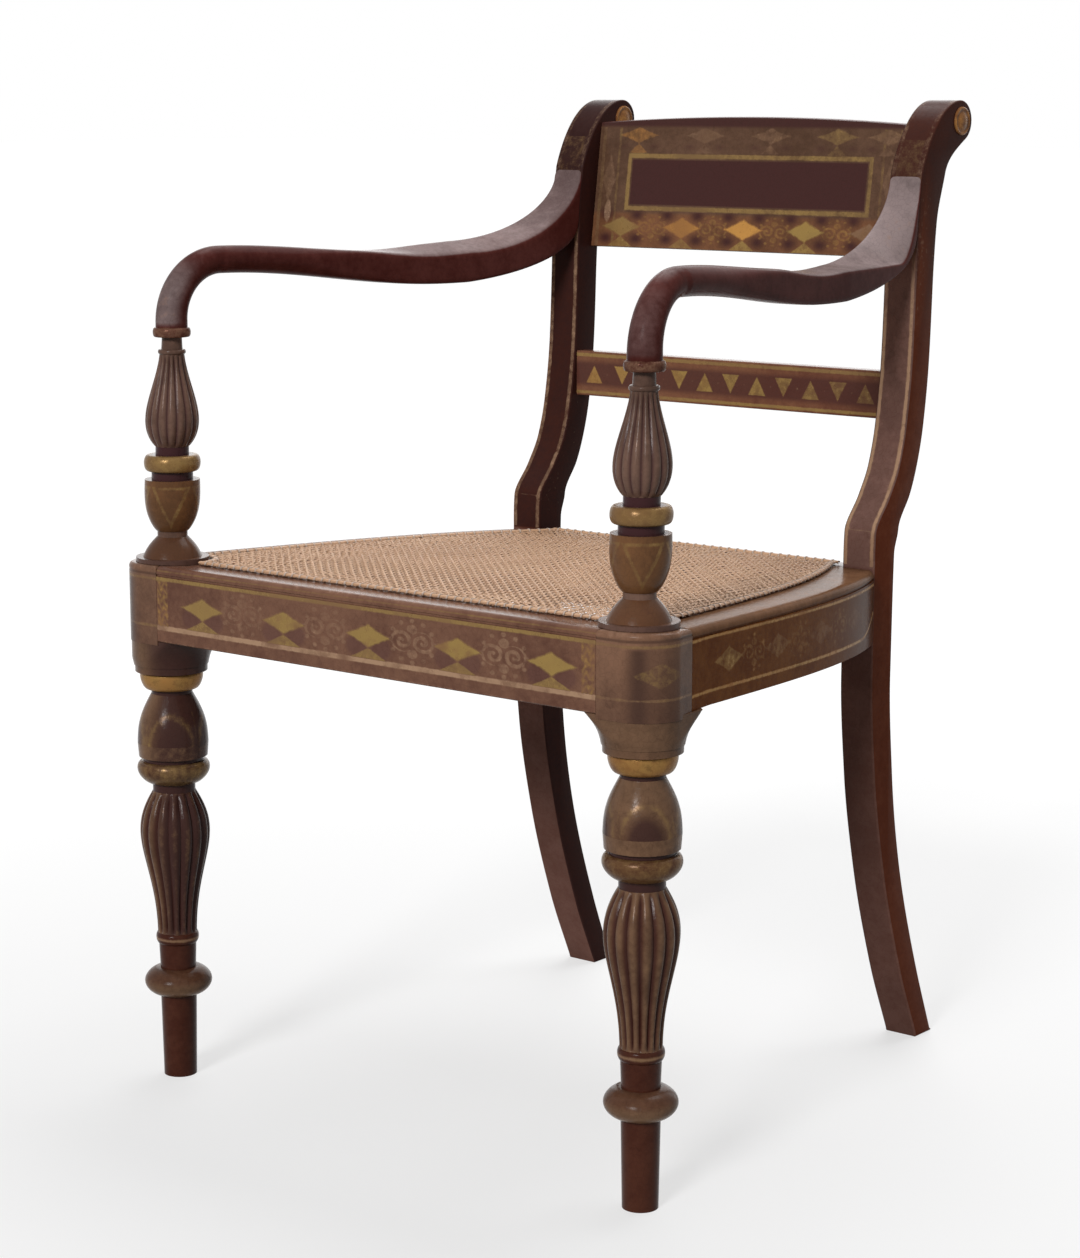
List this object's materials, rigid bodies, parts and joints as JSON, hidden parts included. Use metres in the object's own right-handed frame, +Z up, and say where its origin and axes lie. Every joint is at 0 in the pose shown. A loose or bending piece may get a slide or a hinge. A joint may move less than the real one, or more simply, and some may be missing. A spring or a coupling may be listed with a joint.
{
  "type": "armchair",
  "caption": "Japanned and parcel-gilt open armchair with a caned seat, turned and reeded front legs, sabre back legs and posts that scroll over a painted crest tablet.",
  "frame": {"origin": "on the floor, under the middle of the chair's bounding box", "axes": "+Z up, the chair faces -Y, +X is on the right of a viewer who faces the chair"},
  "size_m": [0.575, 0.5819, 0.845],
  "materials": {
    "japanned_wood": "brown-black japan lacquer with worn gilt lines, satin",
    "crest_japan": "maroon japan lacquer with gilt lozenges, satin",
    "gilt_wood": "worn gilding",
    "cane": "split cane, satin",
    "iron": "plain iron"
  },
  "bodies": {
    "root": {"front_leg_left": "japanned_wood", "front_leg_right": "japanned_wood", "arm_support_left": "japanned_wood", "arm_support_right": "japanned_wood", "back_post_left": "japanned_wood", "back_post_right": "japanned_wood", "front_rail": "japanned_wood", "side_rail_left": "japanned_wood", "side_rail_right": "japanned_wood", "back_rail": "japanned_wood", "tie_rail": "japanned_wood", "arm_left": "japanned_wood", "arm_right": "japanned_wood", "arm_plug_left": "japanned_wood", "arm_plug_right": "japanned_wood", "crest_rail": "crest_japan", "scroll_roundel_left_inner": "gilt_wood", "scroll_roundel_left_outer": "gilt_wood", "arm_screw_left": "iron", "scroll_roundel_right_inner": "gilt_wood", "scroll_roundel_right_outer": "gilt_wood", "arm_screw_right": "iron", "cane_seat": "cane", "binder_front": "cane", "binder_back": "cane", "binder_left": "cane", "binder_right": "cane"}
  },
  "joints": []
}
